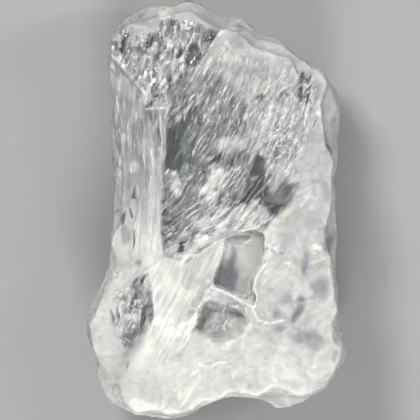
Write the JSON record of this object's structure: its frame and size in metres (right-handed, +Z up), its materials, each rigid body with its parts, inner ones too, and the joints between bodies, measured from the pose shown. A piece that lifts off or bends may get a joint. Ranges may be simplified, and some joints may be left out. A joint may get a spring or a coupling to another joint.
{
  "type": "petalite specimen",
  "caption": "Cleaved fragment of clear to milky petalite, a thick slab with a splintery stepped upper face, lying flat on its broad cleavage face.",
  "frame": {"origin": "under the middle of the stone's bounding box, on the surface that it rests on", "axes": "+Z up through the thickness, +Y along the stone's length, +X across it"},
  "size_m": [0.0302, 0.0484, 0.0157],
  "materials": {
    "petalite": "vitreous on cleavage faces, silky on splintery breaks, milky inside with clear patches"
  },
  "bodies": {
    "root": {"petalite": "petalite"}
  },
  "joints": []
}
